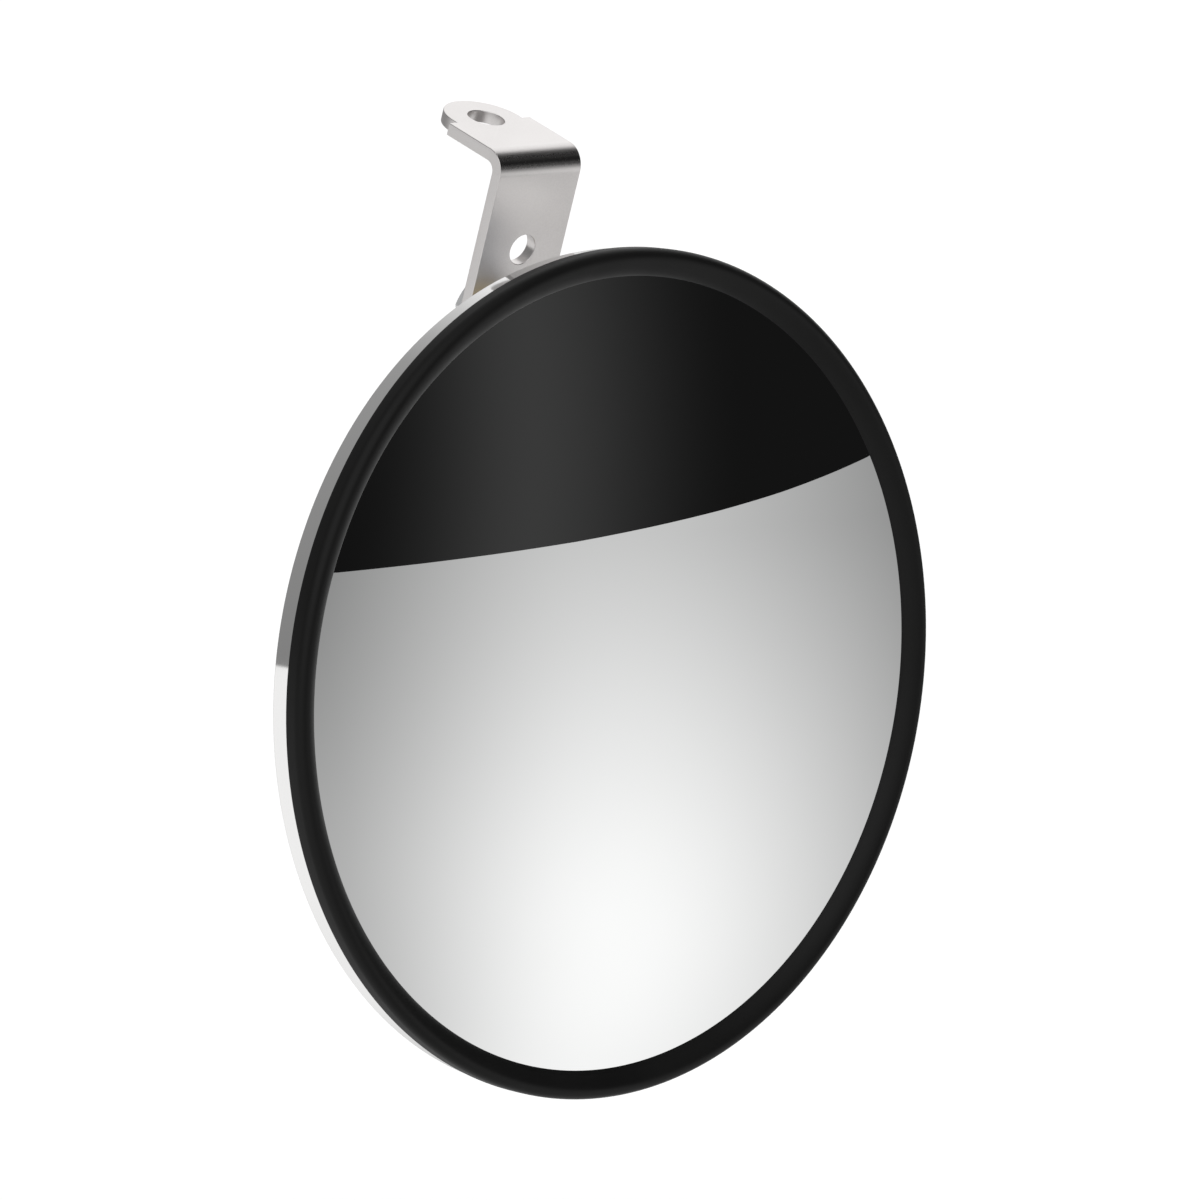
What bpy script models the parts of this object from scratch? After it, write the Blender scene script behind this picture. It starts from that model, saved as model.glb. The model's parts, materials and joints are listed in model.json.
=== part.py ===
"""Round convex mirror hung on a lockable ball joint below a one-inch-wide L bracket.

Frame: metres, +X right, +Y back, +Z up. The mirror stands upright and faces -Y, and the bracket
leans forward over it. The origin is on the top face of the bracket's plate, where the bracket is
fastened. Turned pieces of the mirror head are drawn as (radius, depth) outlines, with depth measured
back from the circle where the rubber edge meets the glass. The ball joint's pieces are drawn from the
ball's centre.
"""

import math

import bmesh
import bpy

MM = 0.001
GAP = 0.3 * MM

# Bracket, in its own frame: X across, Y back, Z along the leg's length
BRACKET_LEAN = math.radians(19.2)
BRACKET_WIDTH = 25.4 * MM
BRACKET_THICKNESS = 3.0 * MM
BEND_RADIUS = 5.4 * MM
LEG_FRONT = -11.0 * MM
PLATE_SHOULDER = LEG_FRONT + 20.6 * MM
PLATE_HOLE_BACK = LEG_FRONT + 21.9 * MM
PLATE_HOLE_RADIUS = 4.5 * MM
PLATE_END_RADIUS = 10.3 * MM
SPARE_HOLE_DROP = 24.4 * MM
SPARE_HOLE_RADIUS = 3.8 * MM
STUD_HOLE_RADIUS = 4.3 * MM
STUD_DROP = 42.3 * MM

# Ball stud and its fasteners. The ball's centre is BALL_REACH in front of the leg's front face
STUD_RADIUS = 4.0 * MM
STUD_CHAMFER = 0.8 * MM
STUD_LENGTH = 28.5 * MM
BALL_REACH = 16.5 * MM
BALL_RADIUS = 6.5 * MM
NECK_RADIUS = 2.7 * MM
NECK_END = 8.4 * MM
THREAD_START = 9.6 * MM
NUT_FLATS = 13.0 * MM
JAM_NUT_HEIGHT = 4.2 * MM
REAR_NUT_HEIGHT = 5.6 * MM
WASHER_THICKNESS = 1.5 * MM
WASHER_RADIUS = 8.0 * MM
LOCK_WASHER_RADIUS = 6.6 * MM
LOCK_WASHER_SWEEP = 352.0

# Mirror head
EDGE_RADIUS = 100.0 * MM
SIGHT_RADIUS = 93.7 * MM
BEAD_RADIUS = 2.2 * MM
BEAD_CREST = 1.0 * MM
BEAD_BACK = 1.9 * MM
GASKET_LEG_RADIUS = 94.2 * MM
LENS_RADIUS = 97.0 * MM
LENS_THICKNESS = 3.0 * MM
LENS_CURVE = 400.0 * MM
SHELL_RADIUS = 99.3 * MM
SHELL_SHEET = 0.8 * MM
SHELL_STEP_DEPTH = 7.1 * MM
SHELL_BACK_DEPTH = 10.2 * MM
SHELL_CROWN_DEPTH = 13.4 * MM
SHELL_CROWN_RADIUS = 45.0 * MM
SHELL_SHOULDER_RADIUS = 96.6 * MM
SHELL_FLAT_RADIUS = 93.2 * MM
PAD_RADIUS = 40.0 * MM

# Ball socket: a stack of plates screwed to the shell's back, with the ball between two seats in a cap
SOCKET_HEIGHT = 74.793 * MM
BALL_DEPTH = 23.517 * MM
FLANGE_RADIUS = 18.0 * MM
FLANGE_SHEET = 1.5 * MM
BASE_SHEET = 1.2 * MM
SEAL_SHEET = 0.6 * MM
STIFFENER_SHEET = 1.5 * MM
CAP_RADIUS = 11.0 * MM
CAP_TOP = 5.5 * MM
BORE_RADIUS = 9.9 * MM
CUP_RADIUS = 9.6 * MM
CUP_HOLE_RADIUS = 3.0 * MM
SEAT_RADIUS = 8.0 * MM
SEAT_SPLIT = 2.5
SEAT_MOUTH = 34.0
CAP_MOUTH = 35.0
WAVE_SHEET = 0.3 * MM
WAVE_LIFT = 0.15 * MM
WAVE_INNER_RADIUS = 5.2 * MM
WAVE_OUTER_RADIUS = 8.6 * MM
SCREW_CIRCLE = 14.6 * MM
SCREW_RADIUS = 1.75 * MM
SCREW_HEAD_RADIUS = 3.2 * MM
SCREW_HEAD_HEIGHT = 2.1 * MM
SCREW_TIP = 0.6 * MM
SCREW_HOLE_RADIUS = 2.1 * MM
SCREW_NUT_FLATS = 6.0 * MM
SCREW_NUT_HEIGHT = 2.8 * MM
SCREW_ANGLES = (-90, 30, 150)

BIG_STEPS = 64
MIDDLE_STEPS = 32
SMALL_STEPS = 24
SCREW_STEPS = 16


# ---------------------------------------------------------------- scene helpers

def clear_scene():
    for obj in list(bpy.data.objects):
        bpy.data.objects.remove(obj, do_unlink=True)


def material(name, colour, roughness, metallic):
    mat = bpy.data.materials.new(name)
    mat.use_nodes = True
    shader = mat.node_tree.nodes["Principled BSDF"]
    shader.inputs["Base Color"].default_value = (*colour, 1.0)
    shader.inputs["Roughness"].default_value = roughness
    shader.inputs["Metallic"].default_value = metallic
    mat.diffuse_color = (*colour, 1.0)
    return mat


def empty(name, location, rotation=(0.0, 0.0, 0.0), parent=None):
    obj = bpy.data.objects.new(name, None)
    bpy.context.collection.objects.link(obj)
    obj.empty_display_size = 0.01
    obj.location = location
    obj.rotation_euler = rotation
    obj.parent = parent
    return obj


def place(name, bm, mat, parent, location=(0.0, 0.0, 0.0), rotation=(0.0, 0.0, 0.0), smooth=True):
    """Turns a bmesh into an object of that name, under its parent."""
    bmesh.ops.recalc_face_normals(bm, faces=bm.faces)
    mesh = bpy.data.meshes.new(name)
    bm.to_mesh(mesh)
    bm.free()
    obj = bpy.data.objects.new(name, mesh)
    bpy.context.collection.objects.link(obj)
    obj.parent = parent
    obj.location = location
    obj.rotation_euler = rotation
    if mat:
        mesh.materials.append(mat)
    if smooth:
        mesh.shade_smooth()
        mesh.set_sharp_from_angle(angle=math.radians(35))
    return obj


# ---------------------------------------------------------------- shape helpers

def arc(centre, radius, start, end, count):
    """Points on a circle arc, from the start angle to the end angle in degrees."""
    points = []
    for index in range(count + 1):
        angle = math.radians(start + (end - start) * index / count)
        points.append((centre[0] + radius * math.cos(angle), centre[1] + radius * math.sin(angle)))
    return points


def ring_vert(bm, point, angle, axis_verts):
    """One point of an outline at an angle round Z. Points on the axis share one vertex."""
    radius, height = point
    if radius > 1e-9:
        return bm.verts.new((radius * math.cos(angle), radius * math.sin(angle), height))
    key = round(height, 9)
    if key not in axis_verts:
        axis_verts[key] = bm.verts.new((0.0, 0.0, height))
    return axis_verts[key]


def revolved(outline_at, steps, sweep=360.0):
    """A closed outline of (radius, height) points turned round Z. It may change with the angle."""
    bm = bmesh.new()
    axis_verts = {}
    full = sweep >= 360.0
    rows = []
    for step in range(steps if full else steps + 1):
        angle = math.radians(sweep * step / steps)
        rows.append([ring_vert(bm, point, angle, axis_verts) for point in outline_at(angle)])
    pairs = [(rows[i], rows[(i + 1) % len(rows)]) for i in range(steps)]
    for here, there in pairs:
        for i in range(len(here)):
            j = (i + 1) % len(here)
            corners = list(dict.fromkeys([here[i], here[j], there[j], there[i]]))
            if len(corners) > 2:
                bm.faces.new(corners)
    if not full:
        bm.faces.new(rows[0])
        bm.faces.new(rows[-1])
    return bm


def turned(outline, steps=SMALL_STEPS, sweep=360.0):
    return revolved(lambda angle: outline, steps, sweep)


def prism(outline, start, end):
    """A flat outline of (x, y) points extruded along Z."""
    bm = bmesh.new()
    low = [bm.verts.new((x, y, start)) for x, y in outline]
    high = [bm.verts.new((x, y, end)) for x, y in outline]
    bm.faces.new(low)
    bm.faces.new(high)
    for i in range(len(outline)):
        j = (i + 1) % len(outline)
        bm.faces.new((low[i], low[j], high[j], high[i]))
    return bm


def hexagon_radius(flats, angle):
    return 0.5 * flats / math.cos((angle % math.radians(60)) - math.radians(30))


def hex_nut(flats, hole, height):
    """A hexagon nut with both faces chamfered, standing on Z = 0."""
    face = 0.49 * flats

    def outline_at(angle):
        corner = hexagon_radius(flats, angle)
        fall = (corner - face) * math.tan(math.radians(30))
        low = [(hole, 0.0), (face, 0.0), (corner, fall)]
        high = [(corner, height - fall), (face, height), (hole, height)]
        return low + high

    return revolved(outline_at, SMALL_STEPS)


def flat_ring(inner, outer, low, high):
    return [(inner, low), (outer, low), (outer, high), (inner, high)]


def drill(radius, low, high):
    """Outline of a solid round bar, for cutting a hole."""
    return [(0.0, low), (radius, low), (radius, high), (0.0, high)]


def cutter(name, bm, parent, location=(0.0, 0.0, 0.0), rotation=(0.0, 0.0, 0.0)):
    obj = place(name, bm, None, parent, location, rotation, smooth=False)
    obj.hide_render = True
    obj.display_type = "WIRE"
    return obj


def cut(obj, tool):
    modifier = obj.modifiers.new(tool.name, "BOOLEAN")
    modifier.operation = "DIFFERENCE"
    modifier.solver = "EXACT"
    modifier.object = tool


# ---------------------------------------------------------------- frames

FORWARD = (math.radians(90), 0.0, 0.0)
BACKWARD = (math.radians(-90), 0.0, 0.0)
DRILL_TURN = (math.radians(-90), math.radians(7), 0.0)


def ball_centre():
    """The ball's centre in world axes, from its place in the leaning bracket's frame."""
    back = LEG_FRONT - BALL_REACH
    up = -STUD_DROP
    sine = math.sin(BRACKET_LEAN)
    cosine = math.cos(BRACKET_LEAN)
    return (0.0, back * cosine - up * sine, back * sine + up * cosine)


# ---------------------------------------------------------------- bracket and stud

def bracket_profile():
    """Side view of the bent strip as (back, up) points: the plate, the bend, then the leg."""
    inner = BEND_RADIUS - BRACKET_THICKNESS
    centre = (LEG_FRONT + BEND_RADIUS, -BEND_RADIUS)
    plate_end = PLATE_HOLE_BACK + PLATE_END_RADIUS + MM
    leg_end = -STUD_DROP - 0.5 * BRACKET_WIDTH - MM
    outside = arc(centre, BEND_RADIUS, 90, 180, 6)
    inside = arc(centre, inner, 180, 90, 6)
    front = [(plate_end, 0.0)] + outside + [(LEG_FRONT, leg_end)]
    back = [(LEG_FRONT + BRACKET_THICKNESS, leg_end)] + inside + [(plate_end, -BRACKET_THICKNESS)]
    return front + back


def l_bracket(frame, mat):
    strip = prism(bracket_profile(), -0.5 * BRACKET_WIDTH, 0.5 * BRACKET_WIDTH)
    for vert in strip.verts:
        vert.co = (vert.co.z, vert.co.x, vert.co.y)
    bracket = place("l_bracket", strip, mat, frame)
    wide = 0.5 * BRACKET_WIDTH + MM
    across = math.degrees(math.asin((PLATE_HOLE_BACK - PLATE_SHOULDER) / PLATE_END_RADIUS))
    end = arc((0.0, PLATE_HOLE_BACK), PLATE_END_RADIUS, -across, 180 + across, 20)
    beyond = PLATE_HOLE_BACK + PLATE_END_RADIUS + 3 * MM
    plate_end = [(wide, PLATE_SHOULDER)] + end
    plate_end += [(-wide, PLATE_SHOULDER), (-wide, beyond), (wide, beyond)]
    plate_cutter = cutter("plate_end_cutter", prism(plate_end, -5 * MM, 2 * MM), frame)
    leg_arc = arc((0.0, -STUD_DROP), 0.5 * BRACKET_WIDTH, 0, -180, 24)
    below = -STUD_DROP - BRACKET_WIDTH
    leg_end = [(wide, -STUD_DROP)] + leg_arc + [(-wide, -STUD_DROP), (-wide, below), (wide, below)]
    leg_cutter = cutter("leg_end_cutter", prism(leg_end, 5 * MM, 20 * MM), frame, rotation=FORWARD)
    plate_drill = turned(drill(PLATE_HOLE_RADIUS, -5 * MM, 2 * MM), MIDDLE_STEPS)
    plate_hole = cutter("plate_hole_cutter", plate_drill, frame, location=(0.0, PLATE_HOLE_BACK, 0.0))
    cut(bracket, plate_cutter)
    cut(bracket, leg_cutter)
    cut(bracket, plate_hole)
    for name, radius, drop in (
        ("spare_hole_cutter", SPARE_HOLE_RADIUS, SPARE_HOLE_DROP),
        ("stud_hole_cutter", STUD_HOLE_RADIUS, STUD_DROP),
    ):
        leg_drill = turned(drill(radius, -2 * MM, 5 * MM), MIDDLE_STEPS)
        hole = cutter(name, leg_drill, frame, (0.0, LEG_FRONT, -drop), BACKWARD)
        cut(bracket, hole)


def ball_outline():
    """The ball stud from its ball, at height 0, to the end of its threaded tail."""
    neck_angle = math.degrees(math.asin(NECK_RADIUS / BALL_RADIUS))
    outline = arc((0.0, 0.0), BALL_RADIUS, -90, 90 - neck_angle, 12)
    outline += [(NECK_RADIUS, NECK_END), (STUD_RADIUS, THREAD_START)]
    outline += [(STUD_RADIUS, STUD_LENGTH - STUD_CHAMFER), (STUD_RADIUS - STUD_CHAMFER, STUD_LENGTH)]
    return outline + [(0.0, STUD_LENGTH)]


def ball_stud(frame, mat):
    place("ball_stud", turned(ball_outline()), mat, frame, rotation=BACKWARD)


def stud_fasteners(frame, zinc, yellow):
    """Washer and jam nut in front of the leg, split washer and nut behind it."""
    clear = STUD_RADIUS + GAP
    front = BALL_REACH - GAP - WASHER_THICKNESS
    washer = turned(flat_ring(clear, WASHER_RADIUS, 0.0, WASHER_THICKNESS))
    place("front_washer", washer, zinc, frame, (0.0, front, 0.0), BACKWARD)
    front -= GAP + JAM_NUT_HEIGHT
    jam_nut = hex_nut(NUT_FLATS, clear, JAM_NUT_HEIGHT)
    place("jam_nut", jam_nut, yellow, frame, (0.0, front, 0.0), BACKWARD)
    rear = BALL_REACH + BRACKET_THICKNESS + GAP
    ring = flat_ring(clear, LOCK_WASHER_RADIUS, 0.0, WASHER_THICKNESS)
    split = turned(ring, SMALL_STEPS, LOCK_WASHER_SWEEP)
    place("lock_washer", split, zinc, frame, (0.0, rear, 0.0), BACKWARD)
    rear += WASHER_THICKNESS + GAP
    nut = hex_nut(NUT_FLATS, clear, REAR_NUT_HEIGHT)
    place("rear_nut", nut, zinc, frame, (0.0, rear, 0.0), BACKWARD)


# ---------------------------------------------------------------- mirror head

def lens_centre_depth():
    """Depth of the centre of the glass's curved front, which meets the rubber edge at depth 0."""
    return math.sqrt(LENS_CURVE ** 2 - SIGHT_RADIUS ** 2)


def lens_face(radius, offset=0.0):
    """Depth of the glass's front face at a radius, or of the surface that far behind it."""
    return lens_centre_depth() - math.sqrt((LENS_CURVE - offset) ** 2 - radius ** 2)


def mirror_lens(frame, mat):
    count = 5
    radii = [LENS_RADIUS * index / count for index in range(count + 1)]
    front = [(radius, lens_face(radius)) for radius in radii]
    back = [(radius, lens_face(radius, LENS_THICKNESS)) for radius in reversed(radii)]
    place("mirror_lens", turned(front + back, BIG_STEPS), mat, frame, rotation=BACKWARD)


def edge_gasket(frame, mat):
    """Rubber edge: a rounded bead in front, a groove for the glass and a leg inside the shell."""
    groove = LENS_RADIUS + GAP
    web = SHELL_RADIUS - SHELL_SHEET - GAP
    leg = SHELL_STEP_DEPTH - SHELL_SHEET - GAP
    crest = arc((EDGE_RADIUS - BEAD_RADIUS, -BEAD_CREST), BEAD_RADIUS, 222, 360, 7)
    bead = [(SIGHT_RADIUS + 0.1 * MM, lens_face(SIGHT_RADIUS) - GAP)] + crest
    side = [(EDGE_RADIUS, BEAD_BACK - 0.4 * MM), (EDGE_RADIUS - 0.3 * MM, BEAD_BACK)]
    inside = [(web, BEAD_BACK), (web, leg), (GASKET_LEG_RADIUS, leg)]
    slot = [
        (GASKET_LEG_RADIUS, lens_face(GASKET_LEG_RADIUS, LENS_THICKNESS) + GAP),
        (groove, lens_face(groove, LENS_THICKNESS) + GAP),
        (groove, lens_face(groove) - GAP),
    ]
    outline = bead + side + inside + slot
    place("edge_gasket", turned(outline, BIG_STEPS), mat, frame, rotation=BACKWARD)


def shell_line():
    """Outside of the shell from its rim to its centre: wall, step, flat back and raised crown."""
    step = SHELL_STEP_DEPTH
    back = SHELL_BACK_DEPTH
    crown = SHELL_CROWN_DEPTH
    wall = [(SHELL_RADIUS, BEAD_BACK + GAP), (SHELL_RADIUS, step)]
    shoulder = [
        (SHELL_SHOULDER_RADIUS, step),
        (SHELL_SHOULDER_RADIUS - MM, step + 0.4 * MM),
        (SHELL_FLAT_RADIUS + 0.8 * MM, back - 0.5 * MM),
        (SHELL_FLAT_RADIUS, back),
    ]
    rise = [
        (SHELL_CROWN_RADIUS + 7.0 * MM, back),
        (SHELL_CROWN_RADIUS + 5.0 * MM, back + 0.7 * MM),
        (SHELL_CROWN_RADIUS + 2.0 * MM, crown - 0.7 * MM),
    ]
    return wall + shoulder + rise + [(SHELL_CROWN_RADIUS, crown), (0.0, crown)]


def offset_inward(points, distance):
    """The same open line moved to its front side by a sheet's thickness."""
    moved = []
    last = len(points) - 1
    for index, point in enumerate(points):
        before = points[max(index - 1, 0)]
        after = points[min(index + 1, last)]
        normals = []
        for start, end in ((before, point), (point, after)):
            run = (end[0] - start[0], end[1] - start[1])
            length = math.hypot(*run)
            if length > 1e-9:
                normals.append((-run[1] / length, run[0] / length))
        mean = (sum(n[0] for n in normals), sum(n[1] for n in normals))
        size = math.hypot(*mean)
        mean = (mean[0] / size, mean[1] / size)
        reach = distance / max(0.5, mean[0] * normals[0][0] + mean[1] * normals[0][1])
        moved.append((point[0] + mean[0] * reach, point[1] + mean[1] * reach))
    moved[-1] = (0.0, moved[-1][1])
    return moved


def back_shell(frame, mat):
    line = shell_line()
    inside = offset_inward(line, SHELL_SHEET)
    break_edge = [(SHELL_RADIUS, line[1][1] - 0.3 * MM), (SHELL_RADIUS - 0.3 * MM, line[1][1])]
    outside = line[:1] + break_edge + line[2:]
    return place("back_shell", turned(outside + inside[::-1], BIG_STEPS), mat, frame, rotation=BACKWARD)


def foam_pad(frame, mat):
    """Foam disc that fills the space between the glass and the shell's raised crown."""
    back = SHELL_CROWN_DEPTH - SHELL_SHEET - GAP
    radii = [PAD_RADIUS * index / 3 for index in range(4)]
    front = [(radius, lens_face(radius, LENS_THICKNESS) + GAP) for radius in radii]
    outline = front + [(PAD_RADIUS, back), (0.0, back)]
    place("foam_pad", turned(outline, 40), mat, frame, rotation=BACKWARD)


# ---------------------------------------------------------------- ball socket on the shell

def stack_depths():
    """Front of each layer at the ball mount, measured back from the ball's centre."""
    stiffener = SHELL_BACK_DEPTH - SHELL_SHEET - GAP - STIFFENER_SHEET - BALL_DEPTH
    seal = SHELL_BACK_DEPTH + GAP - BALL_DEPTH
    base = seal + SEAL_SHEET + GAP
    flange = base + BASE_SHEET + GAP
    nut = stiffener - GAP - SCREW_NUT_HEIGHT
    return {"nut": nut, "stiffener": stiffener, "seal": seal, "base": base, "flange": flange}


def disc(low, high, radius=FLANGE_RADIUS, bevel=0.2 * MM):
    front = [(0.0, low), (radius - bevel, low), (radius, low + bevel)]
    back = [(radius, high - bevel), (radius - bevel, high), (0.0, high)]
    return front + back


def stiffener_plate(frame, mat):
    low = stack_depths()["stiffener"]
    plate = turned(disc(low, low + STIFFENER_SHEET), MIDDLE_STEPS)
    return place("stiffener_plate", plate, mat, frame, rotation=BACKWARD)


def socket_seal(frame, mat):
    low = stack_depths()["seal"]
    outline = disc(low, low + SEAL_SHEET, FLANGE_RADIUS + 0.2 * MM, 0.1 * MM)
    return place("socket_seal", turned(outline, MIDDLE_STEPS), mat, frame, rotation=BACKWARD)


def socket_base(frame, mat):
    low = stack_depths()["base"]
    plate = turned(disc(low, low + BASE_SHEET), MIDDLE_STEPS)
    return place("socket_base", plate, mat, frame, rotation=BACKWARD)


def socket_cap(frame, mat):
    """Flanged cap over the seats, with a round hollow for them and a mouth for the stud to swing in."""
    low = stack_depths()["flange"]
    high = low + FLANGE_SHEET
    top = CAP_TOP
    bevel = 0.2 * MM
    flange = [(BORE_RADIUS, low), (FLANGE_RADIUS - bevel, low), (FLANGE_RADIUS, low + bevel)]
    flange += [(FLANGE_RADIUS, high - bevel), (FLANGE_RADIUS - bevel, high)]
    wall = [(CAP_RADIUS + 0.3 * MM, high), (CAP_RADIUS, high + 0.3 * MM), (CAP_RADIUS, top - 1.3 * MM)]
    mouth = [(CAP_RADIUS - 1.8 * MM, top), (CAP_RADIUS - 2.9 * MM, top)]
    hollow = arc((0.0, 0.0), SEAT_RADIUS + GAP, CAP_MOUTH, 0, 6)
    outline = flange + wall + mouth + hollow + [(BORE_RADIUS, 0.0)]
    return place("socket_cap", turned(outline, MIDDLE_STEPS), mat, frame, rotation=BACKWARD)


def wave_middle():
    return stack_depths()["base"] + BASE_SHEET + GAP + WAVE_LIFT + 0.5 * WAVE_SHEET


def wave_washer(frame, mat):
    """Spring washer between the base and the cup, waved three times round."""
    middle = wave_middle()
    half = 0.5 * WAVE_SHEET

    def outline_at(angle):
        height = middle + WAVE_LIFT * math.sin(3 * angle)
        return flat_ring(WAVE_INNER_RADIUS, WAVE_OUTER_RADIUS, height - half, height + half)

    place("wave_washer", revolved(outline_at, SMALL_STEPS), mat, frame, rotation=BACKWARD)


def socket_cup(frame, mat):
    """Cup that the spring washer presses against the front seat, with a round hollow for the seat."""
    bottom = wave_middle() + WAVE_LIFT + 0.5 * WAVE_SHEET + GAP
    bevel = 0.3 * MM
    radius = SEAT_RADIUS + GAP
    lowest = math.degrees(math.acos(CUP_HOLE_RADIUS / radius))
    hollow = arc((0.0, 0.0), radius, -2, -lowest, 8)
    outside = [(CUP_HOLE_RADIUS, bottom), (CUP_RADIUS - bevel, bottom), (CUP_RADIUS, bottom + bevel)]
    outline = outside + [(CUP_RADIUS, hollow[0][1])] + hollow
    place("socket_cup", turned(outline), mat, frame, rotation=BACKWARD)


def round_seat(name, start, end, frame, mat):
    """A moulded seat that is round inside, for the ball, and round outside, between two angles."""
    inside = arc((0.0, 0.0), BALL_RADIUS + GAP, start, end, 8)
    outside = arc((0.0, 0.0), SEAT_RADIUS, end, start, 8)
    place(name, turned(inside + outside), mat, frame, rotation=BACKWARD)


def screw_outline(tip, head):
    """A pan-head screw from its tip, in front, to the top of its head."""
    chamfer = 0.4 * MM
    top = head + SCREW_HEAD_HEIGHT
    end = [(0.0, tip), (SCREW_RADIUS - chamfer, tip), (SCREW_RADIUS, tip + chamfer)]
    pan = [(SCREW_RADIUS, head), (SCREW_HEAD_RADIUS, head), (SCREW_HEAD_RADIUS, top - 1.3 * MM)]
    crown = [(SCREW_HEAD_RADIUS - 0.8 * MM, top - 0.3 * MM), (0.0, top)]
    return end + pan + crown


def socket_screws(frame, stack, mat):
    """Pan-head screws from behind through the whole stack, each with a nut inside the shell."""
    depths = stack_depths()
    head = depths["flange"] + FLANGE_SHEET + GAP
    nut = depths["nut"]
    tip = nut - SCREW_TIP
    screw = screw_outline(tip, head)
    hole = drill(SCREW_HOLE_RADIUS, tip, head + MM)
    for number, degrees in enumerate(SCREW_ANGLES, start=1):
        angle = math.radians(degrees)
        x = SCREW_CIRCLE * math.cos(angle)
        z = SCREW_CIRCLE * math.sin(angle)
        place("socket_screw_%d" % number, turned(screw, SCREW_STEPS), mat, frame, (x, 0.0, z), BACKWARD)
        nut_mesh = hex_nut(SCREW_NUT_FLATS, SCREW_RADIUS + GAP, SCREW_NUT_HEIGHT)
        place("socket_nut_%d" % number, nut_mesh, mat, frame, (x, nut, z), BACKWARD)
        bar = turned(hole, SCREW_STEPS)
        tool = cutter("screw_hole_cutter_%d" % number, bar, frame, (x, 0.0, z), DRILL_TURN)
        for layer in stack:
            cut(layer, tool)


# ---------------------------------------------------------------- assembly

def build():
    clear_scene()
    satin = material("satin_steel", (0.62, 0.62, 0.61), 0.34, 1.0)
    polished = material("polished_steel", (0.72, 0.72, 0.72), 0.08, 1.0)
    glass = material("silvered_glass", (0.86, 0.87, 0.88), 0.02, 1.0)
    rubber = material("black_rubber", (0.018, 0.018, 0.018), 0.55, 0.0)
    foam = material("grey_foam", (0.16, 0.16, 0.17), 0.95, 0.0)
    nylon = material("white_nylon", (0.78, 0.76, 0.70), 0.45, 0.0)
    zinc = material("zinc_plate", (0.60, 0.61, 0.63), 0.30, 1.0)
    yellow = material("yellow_zinc", (0.66, 0.52, 0.24), 0.30, 1.0)

    bracket_frame = empty("bracket_frame", (0.0, 0.0, 0.0), (BRACKET_LEAN, 0.0, 0.0))
    l_bracket(bracket_frame, satin)
    stud_frame = empty("stud_frame", ball_centre(), (BRACKET_LEAN, 0.0, 0.0))
    ball_stud(stud_frame, yellow)
    stud_fasteners(stud_frame, zinc, yellow)

    ball_frame = empty("ball_frame", ball_centre())
    round_seat("front_seat", -90.0, -SEAT_SPLIT, ball_frame, nylon)
    round_seat("rear_seat", SEAT_SPLIT, SEAT_MOUTH, ball_frame, nylon)
    socket_cup(ball_frame, nylon)
    wave_washer(ball_frame, zinc)
    plate = stiffener_plate(ball_frame, zinc)
    seal = socket_seal(ball_frame, rubber)
    base = socket_base(ball_frame, zinc)
    cap = socket_cap(ball_frame, zinc)

    mirror_frame = empty("mirror_frame", (0.0, -BALL_DEPTH, -SOCKET_HEIGHT), parent=ball_frame)
    mirror_lens(mirror_frame, glass)
    edge_gasket(mirror_frame, rubber)
    foam_pad(mirror_frame, foam)
    shell = back_shell(mirror_frame, polished)
    socket_screws(ball_frame, (plate, shell, seal, base, cap), zinc)


build()
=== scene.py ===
"""Looks for the round convex mirror on its L bracket.

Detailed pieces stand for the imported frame's nodes, and a graded grey studio and the camera follow them.
Turned pieces are drawn as (radius, depth) outlines round a local Z axis. The mirror head's depths run back
from the circle where the rubber edge meets the glass, and the ball joint's depths from the ball's centre.
"""

import json
import math

import bmesh
import bpy
from mathutils import Matrix, Vector


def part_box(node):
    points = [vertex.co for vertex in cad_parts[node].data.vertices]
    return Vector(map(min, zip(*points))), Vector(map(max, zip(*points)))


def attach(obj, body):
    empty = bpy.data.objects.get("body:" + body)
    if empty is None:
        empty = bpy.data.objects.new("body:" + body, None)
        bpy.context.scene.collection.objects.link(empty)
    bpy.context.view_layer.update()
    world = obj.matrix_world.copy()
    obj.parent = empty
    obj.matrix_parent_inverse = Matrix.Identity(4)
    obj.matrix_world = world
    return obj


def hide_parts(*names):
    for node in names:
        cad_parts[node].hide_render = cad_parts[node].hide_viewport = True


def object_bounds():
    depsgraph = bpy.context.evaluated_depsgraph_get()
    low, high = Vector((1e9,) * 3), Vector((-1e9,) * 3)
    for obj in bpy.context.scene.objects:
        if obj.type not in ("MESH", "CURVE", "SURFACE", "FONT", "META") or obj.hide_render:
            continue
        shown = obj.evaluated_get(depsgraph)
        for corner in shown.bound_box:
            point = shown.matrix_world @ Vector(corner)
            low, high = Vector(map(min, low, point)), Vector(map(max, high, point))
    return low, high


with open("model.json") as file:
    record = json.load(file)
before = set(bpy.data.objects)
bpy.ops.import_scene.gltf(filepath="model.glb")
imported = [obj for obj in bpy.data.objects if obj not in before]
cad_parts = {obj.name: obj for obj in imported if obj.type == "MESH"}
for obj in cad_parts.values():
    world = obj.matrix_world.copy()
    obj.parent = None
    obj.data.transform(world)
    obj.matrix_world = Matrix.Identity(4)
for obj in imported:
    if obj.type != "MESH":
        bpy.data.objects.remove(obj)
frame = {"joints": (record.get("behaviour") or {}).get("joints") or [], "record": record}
cad_low, cad_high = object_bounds()

MM = 0.001
GAP = 0.3 * MM
TAU = 2.0 * math.pi

# ---------------------------------------------------------------- places, from the frame

record = frame["record"]
joints = {joint["name"]: joint for joint in frame["joints"]}
mounts = {mount["name"]: mount for mount in record["mounts"]}

BALL = Vector(joints["mirror_tilt"]["pos_m"])
PLATE_UP = Vector(mounts["plate_top_face"]["axis"]).normalized()
LEAN = math.atan2(-PLATE_UP.y, PLATE_UP.z)

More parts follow.
